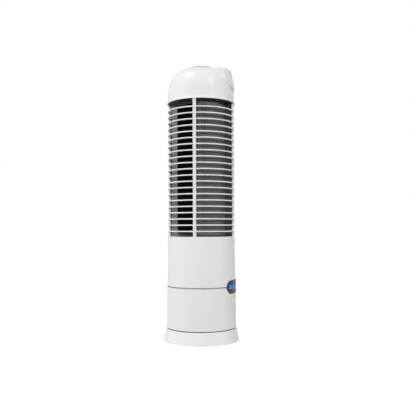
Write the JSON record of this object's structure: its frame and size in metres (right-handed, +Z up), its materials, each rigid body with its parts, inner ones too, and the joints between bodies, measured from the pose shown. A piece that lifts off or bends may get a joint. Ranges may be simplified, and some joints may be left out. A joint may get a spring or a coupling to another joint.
{
  "type": "air purifier",
  "caption": "Slim round tower air purifier with a ringed grille, domed cap with a raised brow, front push buttons and a flared base.",
  "frame": {"origin": "centre of the bottom of the base, on the plane of the rubber feet", "axes": "+Z up along the tower, -Y towards the front with the badge and buttons, +X to the right seen from the front"},
  "size_m": [0.1466, 0.1466, 0.5304],
  "materials": {
    "white_shell": "glossy moulded white",
    "white_grille": "glossy moulded white",
    "rubber": "matte black",
    "cast_iron": "as cast",
    "screw_steel": "zinc plated",
    "grey_trim": "satin grey",
    "badge_black": "high gloss",
    "indicator_blue": "clear blue light guide",
    "circuit_board": "green solder mask",
    "black_plastic": "satin black",
    "led_white": "clear lens",
    "components": "mixed",
    "brass_contact": "bright",
    "motor_steel": "zinc plated",
    "motor_iron": "laminated",
    "shaft_steel": "ground",
    "bronze_bush": "sintered",
    "fan_plastic": "satin black",
    "diffuser_grey": "satin dark grey",
    "carbon_foam": "open black mesh",
    "filter_paper": "pleated paper"
  },
  "bodies": {
    "housing": {"rubber_feet": "rubber", "base_plate": "white_shell", "base_weight": "cast_iron", "base_shell": "white_shell", "base_screws": "screw_steel", "base_gasket": "rubber", "lower_body": "white_shell", "body_screws": "screw_steel", "trim_ring": "grey_trim", "upper_body": "white_shell", "shell_screws": "screw_steel", "badge_bezel": "badge_black", "indicator_bars": "indicator_blue", "control_board": "circuit_board", "board_screws": "screw_steel", "tact_switches": "black_plastic", "indicator_leds": "led_white", "electronics_tray": "black_plastic", "tray_screws": "screw_steel", "power_board": "circuit_board", "power_components": "components", "dc_jack": "black_plastic", "dc_jack_pin": "brass_contact", "motor_can": "motor_steel", "motor_end_bell": "motor_steel", "motor_stator": "motor_iron", "motor_bearings": "motor_steel", "motor_plate": "motor_steel", "motor_grommets": "rubber", "motor_screws": "screw_steel", "top_bearing": "bronze_bush", "bearing_mount": "rubber", "fan_housing": "fan_plastic", "housing_screws": "screw_steel", "outlet_diffuser": "diffuser_grey", "front_grille": "white_grille", "grille_screws": "screw_steel", "cap_deck": "black_plastic", "cap_screws": "screw_steel", "top_cap": "white_shell", "pod_cover": "white_shell"},
    "rotor": {"motor_rotor": "motor_iron", "motor_shaft": "shaft_steel", "impeller": "fan_plastic", "impeller_pin": "shaft_steel"},
    "rear_grille_panel": {"rear_grille": "white_grille"},
    "filter_cartridge": {"filter_frame": "black_plastic", "carbon_prefilter": "carbon_foam", "hepa_filter": "filter_paper"},
    "left_button": {"button_left": "white_shell"},
    "centre_button": {"button_centre": "white_shell"},
    "right_button": {"button_right": "white_shell"}
  },
  "joints": [
    {"name": "impeller_spin", "type": "hinge", "parent": "housing", "child": "rotor", "pos_m": [0, 0, 0.32], "axis": [0, 0, 1], "continuous": true},
    {"name": "rear_grille_off", "type": "slide", "parent": "housing", "child": "rear_grille_panel", "axis": [0, 1, 0], "range_m": [0, 0.2]},
    {"name": "filter_out", "type": "slide", "parent": "housing", "child": "filter_cartridge", "axis": [0, 1, 0], "range_m": [0, 0.12]},
    {"name": "left_button_press", "type": "slide", "parent": "housing", "child": "left_button", "axis": [0, 1, 0], "range_m": [0, 0.0008], "stiffness_N_per_m": 400},
    {"name": "centre_button_press", "type": "slide", "parent": "housing", "child": "centre_button", "axis": [0, 1, 0], "range_m": [0, 0.0008], "stiffness_N_per_m": 400},
    {"name": "right_button_press", "type": "slide", "parent": "housing", "child": "right_button", "axis": [0, 1, 0], "range_m": [0, 0.0008], "stiffness_N_per_m": 400}
  ],
  "couplings": [
    {"joint": "filter_out", "follows": "rear_grille_off", "ratio": 0.6}
  ]
}
